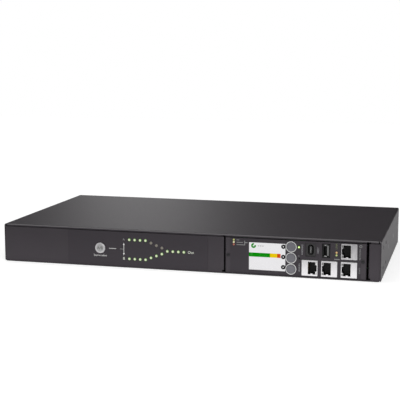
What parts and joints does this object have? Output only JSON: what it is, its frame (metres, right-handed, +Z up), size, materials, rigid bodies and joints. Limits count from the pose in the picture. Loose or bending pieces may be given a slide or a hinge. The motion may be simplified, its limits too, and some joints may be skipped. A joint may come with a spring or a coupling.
{
  "type": "rack transfer switch",
  "caption": "Flat steel rack box that transfers its outlets between mains sources, with a lamp mimic, source button, small screen, keys and network jacks on its front.",
  "frame": {"origin": "centre of the flat underside", "axes": "+X to the right seen from the front, +Y from front to rear, +Z up"},
  "size_m": [0.432, 0.2385, 0.044],
  "materials": {
    "case_steel": "fine satin black powder coat on folded steel",
    "black_screws": "black oxide",
    "overlay_film": "printed matt film",
    "lamp_green": "lit green lens",
    "lamp_dark": "unlit lens",
    "lamp_signal": "lit amber and green lenses",
    "board_laminate": "green solder mask",
    "plain_steel": "zinc plated",
    "button_silver": "silver-grey moulding",
    "key_grey": "grey moulding",
    "switch_black": "black moulding",
    "screen_panel": "pale lit screen",
    "screen_window": "clear sheet",
    "frame_black": "black moulding",
    "jack_metal": "bright nickel plate",
    "insert_black": "black moulding",
    "contact_gold": "gold flash",
    "coupler_black": "black moulding",
    "pin_metal": "nickel-plated brass",
    "relay_blue": "moulded cover",
    "potted_black": "potted casing",
    "choke_winding": "enamelled copper winding",
    "capacitor_sleeve": "printed sleeve",
    "link_copper": "bare copper strap"
  },
  "bodies": {
    "case": {"base_chassis": "case_steel", "top_cover": "case_steel", "module_faceplate": "case_steel", "cover_screws": "black_screws", "module_screws": "black_screws", "mimic_overlay": "overlay_film", "module_overlay": "overlay_film", "mimic_lamps_lit": "lamp_green", "status_lamp": "lamp_green", "mimic_lamps_unlit": "lamp_dark", "jack_lights": "lamp_dark", "alarm_lamps": "lamp_signal", "link_lamps": "lamp_signal", "display_board": "board_laminate", "controller_board": "board_laminate", "socket_board": "board_laminate", "power_board": "board_laminate", "display_standoffs": "plain_steel", "controller_standoffs": "plain_steel", "power_standoffs": "plain_steel", "board_screws": "plain_steel", "tact_switches": "switch_black", "lcd_panel": "screen_panel", "display_window": "screen_window", "lcd_holder": "frame_black", "console_bezel": "frame_black", "jack_1_shield": "jack_metal", "jack_2_shield": "jack_metal", "jack_3_shield": "jack_metal", "jack_4_shield": "jack_metal", "console_shell": "jack_metal", "host_shell": "jack_metal", "jack_1_insert": "insert_black", "jack_2_insert": "insert_black", "jack_3_insert": "insert_black", "jack_4_insert": "insert_black", "console_tongue": "insert_black", "host_tongue": "insert_black", "jack_contacts": "contact_gold", "inlet_a": "coupler_black", "inlet_b": "coupler_black", "outlet_block_1": "coupler_black", "outlet_block_2": "coupler_black", "outlet_block_3": "coupler_black", "inlet_pins": "pin_metal", "outlet_strips": "pin_metal", "relays_source_a": "relay_blue", "relays_source_b": "relay_blue", "supply_transformers": "potted_black", "filter_chokes": "choke_winding", "capacitors": "capacitor_sleeve", "power_links": "link_copper"},
    "preference_button": {"preference_button": "button_silver", "preference_stem": "switch_black"},
    "upper_key": {"upper_key": "key_grey", "upper_key_stem": "switch_black"},
    "middle_key": {"middle_key": "key_grey", "middle_key_stem": "switch_black"},
    "lower_key": {"lower_key": "key_grey", "lower_key_stem": "switch_black"}
  },
  "joints": [
    {"name": "preference_button_press", "type": "slide", "parent": "case", "child": "preference_button", "axis": [0, 1, 0], "range_m": [0, 0.0006], "stiffness_N_per_m": 1500, "springref_m": -0.0004},
    {"name": "upper_key_press", "type": "slide", "parent": "case", "child": "upper_key", "axis": [0, 1, 0], "range_m": [0, 0.0006], "stiffness_N_per_m": 1500, "springref_m": -0.0004},
    {"name": "middle_key_press", "type": "slide", "parent": "case", "child": "middle_key", "axis": [0, 1, 0], "range_m": [0, 0.0006], "stiffness_N_per_m": 1500, "springref_m": -0.0004},
    {"name": "lower_key_press", "type": "slide", "parent": "case", "child": "lower_key", "axis": [0, 1, 0], "range_m": [0, 0.0006], "stiffness_N_per_m": 1500, "springref_m": -0.0004}
  ]
}
